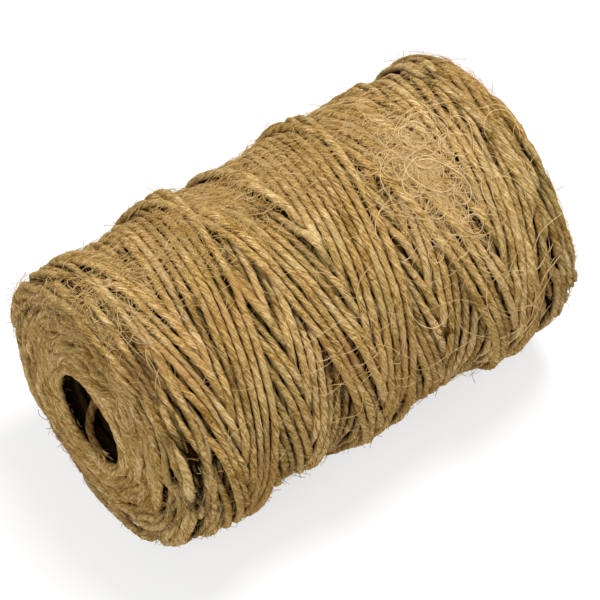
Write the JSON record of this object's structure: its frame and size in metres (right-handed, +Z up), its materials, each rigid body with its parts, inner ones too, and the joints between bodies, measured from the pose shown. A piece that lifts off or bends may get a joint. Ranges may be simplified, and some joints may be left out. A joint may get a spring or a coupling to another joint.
{
  "type": "string reel",
  "caption": "Cylindrical cross-wound package of natural jute twine with an open bore and a loose inner end that draws out of the near mouth.",
  "frame": {"origin": "on the ground under the middle of the package, which lies on its side", "axes": "+X along the winding axis from the near mouth to the far mouth, +Y across the package, +Z up"},
  "size_m": [0.1126, 0.069, 0.0686],
  "materials": {
    "jute_twine": "hairy three-ply natural jute, matt with a slight straw sheen",
    "jute_lining": "the same jute in the shade of the bore, flattened by the mandrel",
    "jute_inner": "the same jute, hidden under the outer turns",
    "jute_loose_end": "one loose length of the same jute with a frayed tip"
  },
  "bodies": {
    "wound_twine": {"bore_lining_turns": "jute_lining", "winding_course_1": "jute_inner", "winding_course_2": "jute_inner", "winding_course_3": "jute_inner", "winding_course_4": "jute_inner", "near_end_turns": "jute_twine", "far_end_turns": "jute_twine", "outer_band_01": "jute_twine", "outer_band_02": "jute_twine", "outer_band_03": "jute_twine", "outer_band_04": "jute_twine", "outer_band_05": "jute_twine", "outer_band_06": "jute_twine", "outer_band_07": "jute_twine", "outer_band_08": "jute_twine", "outer_band_09": "jute_twine", "outer_band_10": "jute_twine", "outer_band_11": "jute_twine"},
    "loose_end": {"pull_end": "jute_loose_end"}
  },
  "joints": [
    {"name": "draw_out", "type": "slide", "parent": "wound_twine", "child": "loose_end", "axis": [-1, 0, 0], "range_m": [0, 0.03]}
  ]
}
